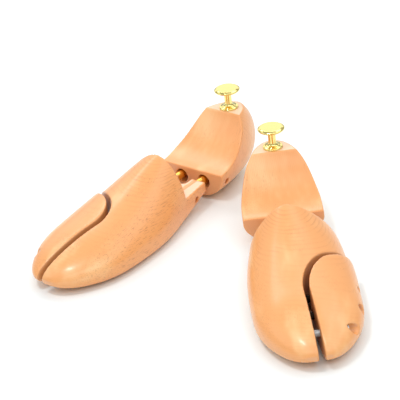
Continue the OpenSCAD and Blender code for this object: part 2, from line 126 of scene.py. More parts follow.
# Places clear of every piece, where cutters start and end, how far a cutter passes the face that it
# opens, and how close vertices are before they are merged
REAR, FRONT, ASIDE, BELOW, ABOVE = -20, 240, 80, -40, 120
WEDGE_CORNER = Vector((300, 150))
PAST = 5
MERGED = 0.0005

# The wedge's sawn edges are rounded within SOFT_REACH of the cut. Towards the toe and the side up to
# SOFT_MOST times as many passes are added.
SOFT_REACH, SOFT_MOST = 5, 2
SOFT_X, SOFT_X_RUN = 150, 40
SOFT_Y, SOFT_Y_RUN = 18, 14

# Marks on the wood: the normals at which each sets in and the width over which it grows, and how close
# to its plane or to the saw cut a planed or sawn face lies. Upward planed faces are painted paler,
# partly the planed wood's own tone and partly painted light where they face up to the lamps.
END_GRAIN_FROM, END_GRAIN_FADE = 0.93, 0.05
PLANED_AND_LIT_FROM, PLANED_AND_LIT_REACH = 0.995, 0.5
# The saw cut's upright faces are painted darker: partly rough sawn wood, partly painted shade in the
# narrow gap between forepart and wedge
KERF_SHADE_FROM, KERF_SHADE_FADE, KERF_SHADE_REACH = 0.75, 0.2, 0.9


def station_value(xs, ys, x):
    """Smooth value at x on the curve through the stations."""
    i = 0
    while i < len(xs) - 2 and x >= xs[i + 1]:
        i += 1

    def slope(k):
        a, b = max(k - 1, 0), min(k + 1, len(xs) - 1)
        return (ys[b] - ys[a]) / (xs[b] - xs[a])

    h = xs[i + 1] - xs[i]
    t = (x - xs[i]) / h
    return (
        (2 * t**3 - 3 * t**2 + 1) * ys[i]
        + (t**3 - 2 * t**2 + t) * h * slope(i)
        + (3 * t**2 - 2 * t**3) * ys[i + 1]
        + (t**3 - t**2) * h * slope(i + 1)
    )


def rounding(x, start, end, power):
    """Share of the full section that is left at x, where an end is rounded off."""
    if x <= start:
        return 1.0
    return max(1 - ((x - start) / (end - start)) ** 2, 0) ** (power / 2)


def power_step(value, power):
    """Sine or cosine of a section with squarer corners."""
    return math.copysign(abs(value) ** (2 / power), value)


def section_point(section, shape, turn):
    """Point of a rounded section at a share of a turn: its upper quarters narrow towards the top."""
    side_in, side_out, top, middle, low, centre = section
    taper_in, taper_out, low_power = shape
    c, s = math.cos(2 * math.pi * turn), math.sin(2 * math.pi * turn)
    half = side_in - centre if c >= 0 else side_out + centre
    if s >= 0:
        taper = taper_in if c >= 0 else taper_out
        return centre + c * (1 - taper * s * s) * half, middle + s * (top - middle)
    return centre + power_step(c, low_power) * half, middle + power_step(s, low_power) * (middle - low)


def fore_section(x, swell):
    """Half widths, heights and middle of the forepart's section."""
    wide_in = rounding(x, ROUND_X, TOE_X, TOE_IN_POWER)
    wide_out = rounding(x, ROUND_X, TOE_X, TOE_OUT_POWER)
    high = rounding(x, ROUND_X, TOE_X, TOE_HEIGHT_POWER)
    fuller = swell * station_value(FORE_X, SWELL_SHARE, x)
    return (
        TIP_Y + (station_value(FORE_X, FORE_IN, x) - TIP_Y) * wide_in,
        -TIP_Y + (station_value(FORE_X, FORE_OUT, x) + TIP_Y) * wide_out + fuller,
        TIP_Z + (station_value(FORE_X, FORE_TOP, x) - TIP_Z) * high,
        TIP_Z + (station_value(FORE_X, FORE_MID, x) - TIP_Z) * high,
        TIP_Z + (station_value(FORE_X, FORE_LOW, x) - TIP_Z) * high,
        TIP_Y * (1 - wide_out),
    )


def fore_shape(x, swell):
    """Tapers of the forepart's upper quarters and squareness of its lower ones."""
    taper = FORE_OUT_TAPER + SWELL_TAPER * swell * station_value(FORE_X, SWELL_SHARE, x)
    return station_value(FORE_X, FORE_IN_TAPER, x), taper, station_value(FORE_X, FORE_LOW_POWER, x)


def heel_section(x):
    """Half widths, heights and middle of the heel block's section."""
    share = rounding(x, HEEL_LENGTH / 2, HEEL_LENGTH, HEEL_POWER)
    half, middle, low = (
        station_value(HEEL_X, values, min(x, HEEL_X[-1])) for values in (HEEL_HALF, HEEL_MID, HEEL_LOW)
    )
    return (
        half * share,
        half * share,
        HEEL_TIP_Z + (HEEL_TOP - HEEL_TIP_Z) * share,
        HEEL_TIP_Z + (middle - HEEL_TIP_Z) * share,
        HEEL_TIP_Z + (low - HEEL_TIP_Z) * share,
        0.0,
    )


def heel_shape(x):
    """The heel block's tapers and squareness, the same at every x."""
    return HEEL_TAPER, HEEL_TAPER, HEEL_LOW_POWER


def lofted(start, bend, end, section, shape, rings, points):
    """Closed form through sections from start to a rounded tip at end, in millimetres."""
    bm = bmesh.new()
    bmesh.ops.create_grid(bm, x_segments=rings, y_segments=points, size=1)
    split = (bend - start) / (end - start)
    for v in bm.verts:
        along, turn = (v.co.x + 1) / 2, (v.co.y + 1) / 2
        if along <= split:
            x = start + (end - start) * along
        else:
            x = bend + (end - bend) * math.sin(math.pi / 2 * (along - split) / (1 - split))
        y, z = section_point(section(x), shape(x), turn)
        v.co = (x, y, z)
    bmesh.ops.remove_doubles(bm, verts=bm.verts, dist=MERGED)
    bmesh.ops.holes_fill(bm, edges=[e for e in bm.edges if e.is_boundary], sides=0)
    bmesh.ops.recalc_face_normals(bm, faces=bm.faces)
    return bm


def block(low, high):
    """Box between two corners, as a cutter."""
    bm = bmesh.new()
    size = Vector(high) - Vector(low)
    middle = (Vector(high) + Vector(low)) / 2
    bmesh.ops.create_cube(bm, size=1, matrix=Matrix.Translation(middle) @ Matrix.Diagonal((*size, 1)))
    return bm


def drill(start, end, diameter, segments=64):
    """Round cutter between two points."""
    a, b = Vector(start), Vector(end)
    turn = (b - a).to_track_quat("Z", "Y").to_matrix().to_4x4()
    bm = bmesh.new()
    bmesh.ops.create_cone(
        bm, cap_ends=True, segments=segments, radius1=diameter / 2, radius2=diameter / 2,
        depth=(b - a).length, matrix=Matrix.Translation((a + b) / 2) @ turn,
    )
    return bm


def slab(outline, low, high):
    """Upright cutter over an outline seen from above."""
    bm = bmesh.new()
    face = bm.faces.new([bm.verts.new((x, y, low)) for x, y in outline])
    raised = bmesh.ops.extrude_face_region(bm, geom=[face])["geom"]
    up = [g for g in raised if isinstance(g, bmesh.types.BMVert)]
    bmesh.ops.translate(bm, verts=up, vec=(0, 0, high - low))
    bmesh.ops.recalc_face_normals(bm, faces=bm.faces)
    return bm


def cut_line(cut, gap=0):
    """Saw cut seen from above: back from the toe, round the bend and out at the side."""
    slant = math.radians(cut["slant"])
    bend_y = cut["toe_y"] - (TOE_X - cut["bend_x"]) * math.tan(slant)
    hub = Vector((cut["bend_x"], bend_y)) + cut["radius"] * Vector((-math.sin(slant), math.cos(slant)))
    radius = cut["radius"] - gap
    steps, tail = 40, 100
    angles = [slant - math.pi / 2 - math.radians(cut["angle"]) * i / steps for i in range(steps + 1)]
    points = [hub + radius * Vector((math.cos(a), math.sin(a))) for a in angles]
    start = points[0] + tail * Vector((math.cos(slant), math.sin(slant)))
    end = points[-1] + tail * Vector((math.sin(angles[-1]), -math.cos(angles[-1])))
    return [start, *points, end]


def line_distance(line, places):
    """Least distances from places to the saw cut, all seen from above."""
    best = np.full(len(places), np.inf)
    for a, b in zip(line, line[1:]):
        start, run = np.array(a), np.array(b - a)
        share = np.clip((places[:, :2] - start) @ run / (run @ run), 0, 1)
        best = np.minimum(best, np.linalg.norm(places[:, :2] - start - share[:, None] * run, axis=1))
    return best


def fork_outline():
    """Gap between the tongue's two prongs, seen from above, with round inner corners."""
    steps = 8
    points = [Vector((TONGUE_X - PAST, -FORK_HALF))]
    for sign, start in ((-1, -90), (1, 0)):
        centre = Vector((FORK_X - FORK_RADIUS, sign * (FORK_HALF - FORK_RADIUS)))
        for i in range(steps + 1):
            a = math.radians(start + 90 * i / steps)
            points.append(centre + FORK_RADIUS * Vector((math.cos(a), math.sin(a))))
    points.append(Vector((TONGUE_X - PAST, FORK_HALF)))
    return points


def as_object(bm, name):
    """Object in the scene that holds the bmesh."""
    mesh = bpy.data.meshes.new(name)
    bm.to_mesh(mesh)
    bm.free()
    piece = bpy.data.objects.new(name, mesh)
    bpy.context.scene.collection.objects.link(piece)
    return piece


def apply_modifiers(piece):
    """Turns the piece's modifiers into mesh."""
    graph = bpy.context.evaluated_depsgraph_get()
    mesh = bpy.data.meshes.new_from_object(piece.evaluated_get(graph))
    piece.modifiers.clear()
    piece.data = mesh


def carve(piece, cutters, operation="DIFFERENCE"):
    """Cuts each bmesh out of the piece, or keeps what it shares with them."""
    tools = [as_object(bm, "cutter") for bm in cutters]
    for tool in tools:
        change = piece.modifiers.new("cut", "BOOLEAN")
        change.operation = operation
        change.solver = "MANIFOLD"
        change.object = tool
    apply_modifiers(piece)
    for tool in tools:
        bpy.data.objects.remove(tool)


def vertex_values(piece, name):
    """The vertices' places or normals as an array."""
    values = np.empty(3 * len(piece.data.vertices), dtype=np.float32)
    piece.data.vertices.foreach_get(name, values)
    return values.reshape(-1, 3)


def sanded(piece, pitch, passes, softness=None):
    """Even fine mesh over the piece, its sawn edges rounded by smoothing, in some places more."""
    remesh = piece.modifiers.new("even", "REMESH")
    remesh.mode = "VOXEL"
    remesh.voxel_size = pitch
    apply_modifiers(piece)
    bm = bmesh.new()
    bm.from_mesh(piece.data)
    wanted = np.full(len(bm.verts), passes)
    if softness:
        wanted = np.maximum(wanted, softness(vertex_values(piece, "co")))
    bm.verts.ensure_lookup_table()
    for turn in range(int(wanted.max())):
        chosen = [bm.verts[i] for i in np.flatnonzero(wanted > turn)]
        bmesh.ops.smooth_vert(
            bm, verts=chosen, factor=0.5, use_axis_x=True, use_axis_y=True, use_axis_z=True
        )
    bm.to_mesh(piece.data)
    bm.free()


def mark_faces(piece, height, line=None):
    """Marks end grain, where the wood is sawn across its fibres, the planed face at a height, painted
    paler as planed wood and as painted light on an upward face, and the faces of the saw cut, painted
    darker as rough sawn wood and as painted shade in the narrow gap."""
    places, normals = vertex_values(piece, "co"), vertex_values(piece, "normal")
    level = np.abs(places[:, 2] - height) < PLANED_AND_LIT_REACH
    marks = {
        "end_grain": np.clip((np.abs(normals[:, 0]) - END_GRAIN_FROM) / END_GRAIN_FADE, 0, 1),
        # Upward flat faces at the height: painted paler, as planed wood and as painted light from above
        "planed_and_lit": (normals[:, 2] > PLANED_AND_LIT_FROM) & level,
        "kerf": np.zeros(len(places)),
    }
    # Upright faces along the saw cut: painted darker, as rough sawn wood and as painted shade in the gap
    if line:
        upright = np.clip((KERF_SHADE_FROM - np.abs(normals[:, 2])) / KERF_SHADE_FADE, 0, 1)
        marks["kerf"] = upright * (line_distance(line, places) < KERF_SHADE_REACH)
    for name, values in marks.items():
        attribute = piece.data.attributes.new(name, "FLOAT", "POINT")
        attribute.data.foreach_set("value", values.astype(np.float32))


def move_mesh(piece, matrix):
    """Moves the piece's mesh and keeps its faces outwards where the move mirrors it."""
    bm = bmesh.new()
    bm.from_mesh(piece.data)
    bmesh.ops.transform(bm, matrix=matrix, verts=bm.verts)
    if matrix.determinant() < 0:
        bmesh.ops.reverse_faces(bm, faces=bm.faces)
    bm.to_mesh(piece.data)
    bm.free()


def tree_matrix(side):
    """From a tree's own millimetres to the part's frame, with the left tree mirrored."""
    heading = Vector(JOINTS[side + "_length"]["axis"])
    low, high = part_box(side + "_knob")
    face = (low + high) / 2 + heading * KNOB_X * MM
    turn = Matrix.Rotation(math.atan2(heading.y, heading.x), 4, "Z")
    flip = Matrix.Diagonal((1, -1 if side == "left" else 1, 1, 1))
    return Matrix.Translation((face.x, face.y, 0)) @ turn @ flip @ Matrix.Scale(MM, 4)


def settle(piece, side, material, body, node):
    """Puts a finished piece in its node's place in the part's frame and lets it ride on its body."""
    move_mesh(piece, tree_matrix(side))
    piece.data.shade_smooth()
    piece.data.materials.clear()
    piece.data.materials.append(bpy.data.materials[material])
    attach(piece, side + "_" + body)
    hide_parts(side + "_" + node)


def linear(hex_colour):
    """Linear colour of an sRGB hex value."""
    channels = [int(hex_colour[i : i + 2], 16) / 255 for i in (1, 3, 5)]
    return [c / 12.92 if c <= 0.04045 else ((c + 0.055) / 1.055) ** 2.4 for c in channels]


def colour_setting(name, description, hex_colour):
    """Setting for a colour, given as an sRGB hex value."""
    return FloatVectorProperty(
        name=name, description=description, subtype="COLOR", size=3, min=0, max=1,
        default=linear(hex_colour),
    )


def length_setting(name, description, default, low, high):
    """Setting for a length, given here in millimetres and held in metres."""
    return FloatProperty(
        name=name, description=description, unit="LENGTH", precision=5,
        default=default * MM, min=low * MM, max=high * MM,
    )


class ShoeTreeColours(bpy.types.PropertyGroup):
    """Colours of the wood and the metals."""

    wood: colour_setting("Wood", "Beech between its growth rings", "#EFA665")
    wood_pale: colour_setting("Pale wood", "Beech in its palest zones", "#F7C186")
    wood_ring: colour_setting("Growth ring", "Late wood of the growth rings", "#D4854B")
    wood_fleck: colour_setting("Fleck", "Short dark flecks of the rays", "#A9602F")
    end_grain: colour_setting("End grain", "Sawn end grain", "#E3A577")
    # Painted light: the upward planed faces take this pale cream, partly the planed wood and partly the
    # light they face
    planed_and_lit: colour_setting("Planed faces", "Flat faces left matt by the plane", "#F8D2B0")
    # Painted shade: the saw cut's faces take this darker brown, partly rough sawn wood and partly the
    # shade deep in the narrow gap
    kerf: colour_setting("Saw cut", "Rough brown faces of the toe's saw cut", "#C98A56")
    brass: colour_setting("Brass", "Polished brass", "#F3E08F")
    brass_tube: colour_setting("Tube brass", "Drawn brass of the tubes", "#E8BE5A")
    steel: colour_setting("Steel", "Zinc plated steel", "#B4B5B4")
    # Painted shade: the rear guide pin and the stop screw are near black so that they vanish in the
    # gap's shade
    shade_dark_steel: colour_setting("Dark steel", "Phosphated steel of the screws", "#3C332B")
    floor: colour_setting("Floor", "Plain pale floor, a touch cool", "#F2FAFC")


class ShoeTreeSizes(bpy.types.PropertyGroup):
    """Sizes of the finish and of the turned pieces."""

    pitch: length_setting("Mesh pitch", "Edge length of the sanded wood's mesh", 0.85, 0.6, 2)
    edge_passes: IntProperty(
        name="Edge rounding", description="Smoothing passes that break every sawn edge",
        default=2, min=1, max=8,
    )
    split_passes: IntProperty(
        name="Split rounding", description="Smoothing passes along the toe's saw cut",
        default=7, min=0, max=30,
    )
    bore_room: length_setting("Bore room", "Gap drawn between a bore and its pin", 0.3, 0.1, 0.6)
    ring_gap: length_setting("Growth ring", "Width of a growth ring", 1.7, 1, 8)
    fleck_width: length_setting("Fleck width", "Width of a ray fleck", 0.5, 0.2, 1)
    fleck_length: length_setting("Fleck length", "Length of a ray fleck", 5, 1, 10)
    knob_foot_d: length_setting("Knob foot", "Diameter of the knob's foot", 18.6, 14, 20)
    knob_neck_d: length_setting("Knob neck", "Diameter of the knob's neck", 7.2, 6.6, 9)


def add(tree, kind, inputs=None, **settings):
    """Adds a shader node, sets its values and links what comes from other nodes."""
    node = tree.nodes.new(kind)
    for key, value in settings.items():
        setattr(node, key, value)
    for key, value in (inputs or {}).items():
        socket = node.inputs[key]
        if isinstance(value, bpy.types.NodeSocket):
            tree.links.new(value, socket)
        else:
            socket.default_value = value
    return node


def new_material(name):
    """Empty node tree of a new material."""
    material = bpy.data.materials.new(name)
    material.use_nodes = True
    material.node_tree.nodes.clear()
    return material.node_tree


# How each block lay in its log: the lean of its fibres in degrees and its place beside the pith in
# millimetres, then how strongly its rings show, and its flecks on the left and on the right tree
BEECH = {
    "forepart": (4, (0, 0, 62), 0.5, {"left": 0.42, "right": 0.2}),
    "heel": (-50, (0, 90, 6), 0.24, {"left": 0.3, "right": 0.3}),
}

# Figure of the wood, in millimetres: how far apart the rings' slow bends are and how far each moves
# them, the width and length of a pale zone, and the size of the patches where rings and flecks come
# and go
BEND_SPAN, BEND_REACH = 55.6, 6
ZONE_WIDTH, ZONE_LENGTH = 28.6, 81.7
RING_PATCH, FLECK_PATCH = 16.7, 20
# Spacing of the flecks, as a multiple of a fleck's own size
FLECK_SPACING = 1.25
# The ring texture turns 20 radians in each unit, so this scale would give one ring for each millimetre
RING_UNIT = 2 * math.pi / 20
RING_WAVER = {"Distortion": 1.1, "Detail": 3, "Detail Scale": 1.6, "Detail Roughness": 0.6}
# Part of each texture's range over which its marks set in
LATE_WOOD, PALE_ZONES, FLECKS, FLECK_PATCHES = (0.55, 1.0), (0.45, 0.75), (0.58, 0.68), (0.45, 0.7)
RING_PATCHES, LEAST_RING = (0.38, 0.6), 0.15
# The rings fade from the instep to the ball, and the flecks grow from the middle to the plain side
RING_FADE_X, RING_AT_TOE = (65, 115), 0.3
FLECK_GROW_Y = (12, 30)
# Planed share: the planed wood's tone together with painted light on the upward flat faces
# Saw cut share: the rough sawn tone together with painted shade in the gap
END_GRAIN_SHARE, PLANED_AND_LIT_SHARE, KERF_AND_SHADE_SHARE = 0.7, 0.9, 0.85
# Satin lacquer over the wood: its roughness, relief and clear coat
LACQUER_IOR, WOOD_ROUGHNESS, WOOD_RELIEF, WOOD_RELIEF_MM = 1.5, (0.34, 0.46), 0.05, 0.2
COAT_WEIGHT, COAT_ROUGHNESS = 0.35, 0.18


def lacquered_beech(block_name, side):
    """Steamed beech, sanded fine and lacquered satin: faint rings, short dark flecks, a soft sheen."""
    colours, sizes = bpy.context.scene.shoe_tree_colours, bpy.context.scene.shoe_tree_sizes
    lean, place, ring_share, fleck_shares = BEECH[block_name]
    tree = new_material(f"lacquered beech {side} {block_name}")

    # Millimetres of the tree's own frame, then of the log, whose rings run slightly bent
    heading = JOINTS[side + "_length"]["axis"]
    yaw = math.atan2(heading[1], heading[0])
    origin = Matrix.Rotation(-yaw, 3, "Z") @ (tree_matrix(side).to_translation() / MM)
    where = add(tree, "ShaderNodeTexCoord").outputs["Object"]
    local = add(tree, "ShaderNodeMapping", {
        "Vector": where, "Scale": (1 / MM, 1 / MM, 1 / MM), "Rotation": (0, 0, -yaw),
        "Location": -origin,
    }).outputs["Vector"]
    bends = add(tree, "ShaderNodeTexNoise", {
        "Vector": local, "Scale": 1 / BEND_SPAN, "Detail": 2, "Roughness": 0.5,
    }).outputs["Color"]
    reach = (BEND_REACH, BEND_REACH, BEND_REACH)
    bend = add(tree, "ShaderNodeVectorMath", {0: bends, 1: reach}, operation="MULTIPLY").outputs[0]
    bent = add(tree, "ShaderNodeVectorMath", {0: local, 1: bend}, operation="ADD").outputs[0]
    log = add(tree, "ShaderNodeMapping", {
        "Vector": bent, "Rotation": (0, math.radians(lean), 0), "Location": place,
    }).outputs["Vector"]

    # Textures: growth rings, zones and flecks drawn out along the fibres, and the patches of both
    rings = add(tree, "ShaderNodeTexWave", {
        "Vector": log, "Scale": RING_UNIT / (sizes.ring_gap / MM), **RING_WAVER,
    }, wave_type="RINGS", rings_direction="X", wave_profile="SAW").outputs["Fac"]
    drawn_out = []
    fleck_size = (sizes.fleck_length / MM, sizes.fleck_width / MM)
    for length, width in ((ZONE_LENGTH, ZONE_WIDTH), fleck_size):
        drawn_out.append(add(tree, "ShaderNodeMapping", {
            "Vector": log, "Scale": (1 / length, 1 / width, 1 / width),
        }).outputs["Vector"])
    noises = []
    for vector, scale, detail, roughness in (
        (drawn_out[0], 1, 3, 0.55),
        (drawn_out[1], 1 / FLECK_SPACING, 1, 0.4),
        (log, 1 / RING_PATCH, 2, 0.5),
        (local, 1 / FLECK_PATCH, 1, 0.5),
    ):
        noises.append(add(tree, "ShaderNodeTexNoise", {
            "Vector": vector, "Scale": scale, "Detail": detail, "Roughness": roughness,
        }).outputs["Fac"])
    zones, specks, ring_patches, fleck_patches = noises
    axes = add(tree, "ShaderNodeSeparateXYZ", {"Vector": local}).outputs
    plain_side = [-y if side == "right" else y for y in FLECK_GROW_Y]

    # Each texture or axis, the part of its range that is used, what that becomes, and how
    shares = []
    for value, (low, high), (first, last), steps in (
        (zones, PALE_ZONES, (0, 1), "SMOOTHSTEP"),
        (rings, LATE_WOOD, (0, 1), "SMOOTHSTEP"),
        (ring_patches, RING_PATCHES, (LEAST_RING * ring_share, ring_share), "LINEAR"),
        (axes["X"], RING_FADE_X, (1, RING_AT_TOE), "LINEAR"),
        (specks, FLECKS, (0, 1), "SMOOTHSTEP"),
        (fleck_patches, FLECK_PATCHES, (0, 1), "SMOOTHSTEP"),
        (axes["Y"], plain_side, (0, 1), "SMOOTHSTEP"),
        (specks, (0, 1), WOOD_ROUGHNESS, "LINEAR"),
    ):
        shares.append(add(tree, "ShaderNodeMapRange", {
            "Value": value, "From Min": low, "From Max": high, "To Min": first, "To Max": last,
        }, interpolation_type=steps).outputs["Result"])
    pale, late, patchy, instep, fleck, fleck_patch, plain, roughness = shares
    strength = add(tree, "ShaderNodeMath", {0: patchy, 1: instep}, operation="MULTIPLY").outputs[0]
    ring = add(tree, "ShaderNodeMath", {0: late, 1: strength}, operation="MULTIPLY").outputs[0]
    shown = add(tree, "ShaderNodeMath", {0: fleck_patch, 1: plain}, operation="MAXIMUM").outputs[0]
    dark = add(tree, "ShaderNodeMath", {0: fleck, 1: shown}, operation="MULTIPLY").outputs[0]
    dash = add(tree, "ShaderNodeMath", {0: dark, 1: fleck_shares[side]}, operation="MULTIPLY").outputs[0]

    # Colours over the plain wood, from the first to the last
    layers = [(pale, colours.wood_pale), (ring, colours.wood_ring), (dash, colours.wood_fleck)]
    for mark, share, tone in (
        ("end_grain", END_GRAIN_SHARE, colours.end_grain),
        # Painted light on the upward planed faces, over the planed wood's paler tone
        ("planed_and_lit", PLANED_AND_LIT_SHARE, colours.planed_and_lit),
        # Painted shade in the saw cut's narrow gap, over the sawn faces' rough tone
        ("kerf", KERF_AND_SHADE_SHARE, colours.kerf),
    ):
        marked = add(tree, "ShaderNodeAttribute", attribute_name=mark).outputs["Fac"]
        weight = add(tree, "ShaderNodeMath", {0: marked, 1: share}, operation="MULTIPLY").outputs[0]
        layers.append((weight, tone))
    colour = (*colours.wood, 1)
    for share, tone in layers:
        mix = add(tree, "ShaderNodeMix", {0: share, 6: colour, 7: (*tone, 1)}, data_type="RGBA")
        colour = mix.outputs[2]
    bump = add(tree, "ShaderNodeBump", {
        "Height": specks, "Strength": WOOD_RELIEF, "Distance": WOOD_RELIEF_MM * MM,
    }).outputs["Normal"]
    shader = add(tree, "ShaderNodeBsdfPrincipled", {
        "Base Color": colour, "Roughness": roughness, "Normal": bump, "IOR": LACQUER_IOR,
        "Coat Weight": COAT_WEIGHT, "Coat Roughness": COAT_ROUGHNESS, "Coat IOR": LACQUER_IOR,
    })
    add(tree, "ShaderNodeOutputMaterial", {"Surface": shader.outputs[0]})


# Each metal's colour, its roughness and the size of its finest marks in millimetres. Marks left by a
# lathe, a die or a bath are under 0.1 mm, too fine to show, and are drawn several times as coarse.
METALS = {
    # Buffed on the lathe: pale gold with near mirror reflections
    "polished brass": ("brass", 0.12, 0.6),
    # Pulled through a die: deeper gold, a little duller
    "drawn brass": ("brass_tube", 0.2, 0.5),
    # Thin even plating: light grey, with soft reflections
    "zinc plated steel": ("steel", 0.38, 0.5),
    # Near black, with hardly any shine: painted shade, so that the rear guide pin and the stop screw
    # vanish in the gap's shade
    "shade dark steel": ("shade_dark_steel", 0.6, 0.3),
}
METAL_ROUGHNESS_SPREAD, METAL_RELIEF, METAL_RELIEF_MM = (0.8, 1.3), 0.03, 0.1


def bare_metal(name):
    """Metal whose fine marks vary its gloss a little."""
    colour_name, roughness, mark_mm = METALS[name]
    colour = getattr(bpy.context.scene.shoe_tree_colours, colour_name)
    tree = new_material(name)
    where = add(tree, "ShaderNodeTexCoord").outputs["Object"]
    marks = add(tree, "ShaderNodeTexNoise", {
        "Vector": where, "Scale": 1 / (mark_mm * MM), "Detail": 2,
    }).outputs["Fac"]
    low, high = (roughness * share for share in METAL_ROUGHNESS_SPREAD)
    varied = add(tree, "ShaderNodeMapRange", {
        "Value": marks, "To Min": low, "To Max": high,
    }).outputs["Result"]
    bump = add(tree, "ShaderNodeBump", {
        "Height": marks, "Strength": METAL_RELIEF, "Distance": METAL_RELIEF_MM * MM,
    }).outputs["Normal"]
    shader = add(tree, "ShaderNodeBsdfPrincipled", {
        "Base Color": (*colour, 1), "Metallic": 1.0, "Roughness": varied, "Normal": bump,
    })
    add(tree, "ShaderNodeOutputMaterial", {"Surface": shader.outputs[0]})


def matt_floor():
    """Painted board: plain white and matt, so it takes soft shadows and shows no reflections."""
    tree = new_material("matt white floor")
    colour = bpy.context.scene.shoe_tree_colours.floor
    shader = add(tree, "ShaderNodeBsdfDiffuse", {"Color": (*colour, 1)})
    add(tree, "ShaderNodeOutputMaterial", {"Surface": shader.outputs[0]})


def make_materials():
    """Every finish of the pair and of the floor."""
    for side in SIDES:
        for block_name in BEECH:
            lacquered_beech(block_name, side)
    for name in METALS:
        bare_metal(name)
    matt_floor()


def guide_bores(room):
    """Cutters for the three guide bores across the toe."""
    return [
        drill((x, -GUIDE_BORE_Y, GUIDE_Z), (x, ASIDE, GUIDE_Z), GUIDE_D + 2 * room) for x in GUIDE_XS
    ]


def cross_bore(x, z, length, room):
    """Cutters for a cross pin's bore and its two wider mouths."""
    half = length / 2 + PIN_END_GAP
    return [
        drill((x, -ASIDE, z), (x, ASIDE, z), CROSS_D + 2 * room),
        drill((x, half, z), (x, ASIDE, z), MOUTH_D),
        drill((x, -ASIDE, z), (x, -half, z), MOUTH_D),
    ]


def fore_blank(swell):
    """Whole forepart before it is sawn, on its flat sole."""
    bm = lofted(
        TONGUE_X, ROUND_X, TOE_X, lambda x: fore_section(x, swell), lambda x: fore_shape(x, swell),
        rings=130, points=150,
    )
    piece = as_object(bm, "blank")
    carve(piece, [block((REAR, -ASIDE, BELOW), (FRONT, ASIDE, 0))])
    return piece


class MESH_OT_foreparts(bpy.types.Operator):
    """Beech foreparts with their forked tongues, sawn toes and bores"""

    bl_idname = "mesh.shoe_tree_foreparts"
    bl_label = "Foreparts"

    def execute(self, context):
        sizes = context.scene.shoe_tree_sizes
        room = sizes.bore_room / MM
        for side in SIDES:
            piece = fore_blank(CUTS[side]["swell"])
            line = cut_line(CUTS[side])
            tube_bores = [
                drill((0, y, TUBE_Z), (TUBE_FRONT + SPRING_ROOM, y, TUBE_Z), TUBE_D + 2 * room)
                for y in (-TUBE_Y, TUBE_Y)
            ]
            carve(piece, [
                slab([*line, WEDGE_CORNER], -PAST, ABOVE),
                block((TONGUE_X - PAST, -ASIDE, TONGUE_TOP), (INSTEP_X, ASIDE, ABOVE)),
                slab(fork_outline(), -PAST, TONGUE_TOP + PAST),
                *cross_bore(TONGUE_PIN_X, TONGUE_PIN_Z, TONGUE_PIN_LENGTH, room),
                *guide_bores(room),
                *tube_bores,
            ])
            sanded(piece, sizes.pitch / MM, sizes.edge_passes)
            mark_faces(piece, TONGUE_TOP, line)
            piece.name = side + "_forepart_wood"
            settle(piece, side, f"lacquered beech {side} forepart", "forepart", "forepart")
        return {"FINISHED"}


def wedge_softness(line, places, passes):
    """Smoothing passes over the wedge: most where its sawn edges meet the toe and the side."""
    toe = np.clip((places[:, 0] - SOFT_X) / SOFT_X_RUN, 0, 1)
    outer = np.where(places[:, 0] < SOFT_X, np.clip((places[:, 1] - SOFT_Y) / SOFT_Y_RUN, 0, 1), 0)
    near = line_distance(line, places) < SOFT_REACH
    return np.where(near, passes * (1 + SOFT_MOST * np.maximum(toe, outer)), 0)


class MESH_OT_wedges(bpy.types.Operator):
    """Beech wedges that press the split toe outwards"""

    bl_idname = "mesh.shoe_tree_wedges"
    bl_label = "Toe wedges"

    def execute(self, context):
        sizes = context.scene.shoe_tree_sizes
        for side in SIDES:
            cut = CUTS[side]
            piece = fore_blank(cut["swell"])
            line = cut_line(cut, KERF)
            carve(piece, [slab([*line, WEDGE_CORNER], -PAST, ABOVE)], "INTERSECT")
            counterbores = [
                drill((x, GUIDE_SEAT, GUIDE_Z), (x, ASIDE, GUIDE_Z), COUNTERBORE_D) for x in GUIDE_XS
            ]
            carve(piece, [*guide_bores(sizes.bore_room / MM), *counterbores])
            sanded(
                piece, sizes.pitch / MM, sizes.edge_passes,
                lambda places: wedge_softness(line, places, sizes.split_passes),
            )
            mark_faces(piece, TONGUE_TOP, line)
            move_mesh(piece, Matrix.Translation((0, cut["open"], 0)))
            piece.name = side + "_wedge_wood"
            settle(piece, side, f"lacquered beech {side} forepart", "wedge", "toe_wedge")
        return {"FINISHED"}


class MESH_OT_heel_blocks(bpy.types.Operator):
    """Beech heel blocks with a hollow saddle, a flat top and two holes for the tubes"""

    bl_idname = "mesh.shoe_tree_heel_blocks"
    bl_label = "Heel blocks"

    def execute(self, context):
        sizes = context.scene.shoe_tree_sizes
        middle = Vector((PLATE_X / 2, (EDGE_Z + PLATE_Z) / 2))
        chord = Vector((PLATE_X, PLATE_Z - EDGE_Z))
        rise = math.sqrt(SADDLE_RADIUS**2 - (chord.length / 2) ** 2)
        hub = middle + rise * Vector((-chord.y, chord.x)).normalized()
        for side in SIDES:
            bm = lofted(
                0, HEEL_LENGTH / 2, HEEL_LENGTH, heel_section, heel_shape, rings=90, points=150
            )
            piece = as_object(bm, "blank")
            holes = [
                drill((-PAST, y, HEEL_HOLE_Z), (HEEL_HOLE_DEPTH, y, HEEL_HOLE_Z), HEEL_HOLE_D)
                for y in (-TUBE_Y, TUBE_Y)
            ]
            carve(piece, [
                block((REAR, -ASIDE, BELOW), (FRONT, ASIDE, 0)),
                block((REAR, -ASIDE, PLATE_Z), (FRONT, ASIDE, ABOVE)),
                drill((hub.x, -ASIDE, hub.y), (hub.x, ASIDE, hub.y), 2 * SADDLE_RADIUS, segments=512),
                *holes,
                *cross_bore(HEEL_PIN_X, TUBE_Z, HEEL_PIN_LENGTH, sizes.bore_room / MM),
            ])
            sanded(piece, sizes.pitch / MM, sizes.edge_passes)
            mark_faces(piece, PLATE_Z)
            # The block is drawn from its face towards the toe and belongs behind it
            move_mesh(piece, Matrix.Diagonal((-1, 1, 1, 1)))
            piece.name = side + "_heel_wood"
            settle(piece, side, f"lacquered beech {side} heel", "heel", "heel_block")
        return {"FINISHED"}


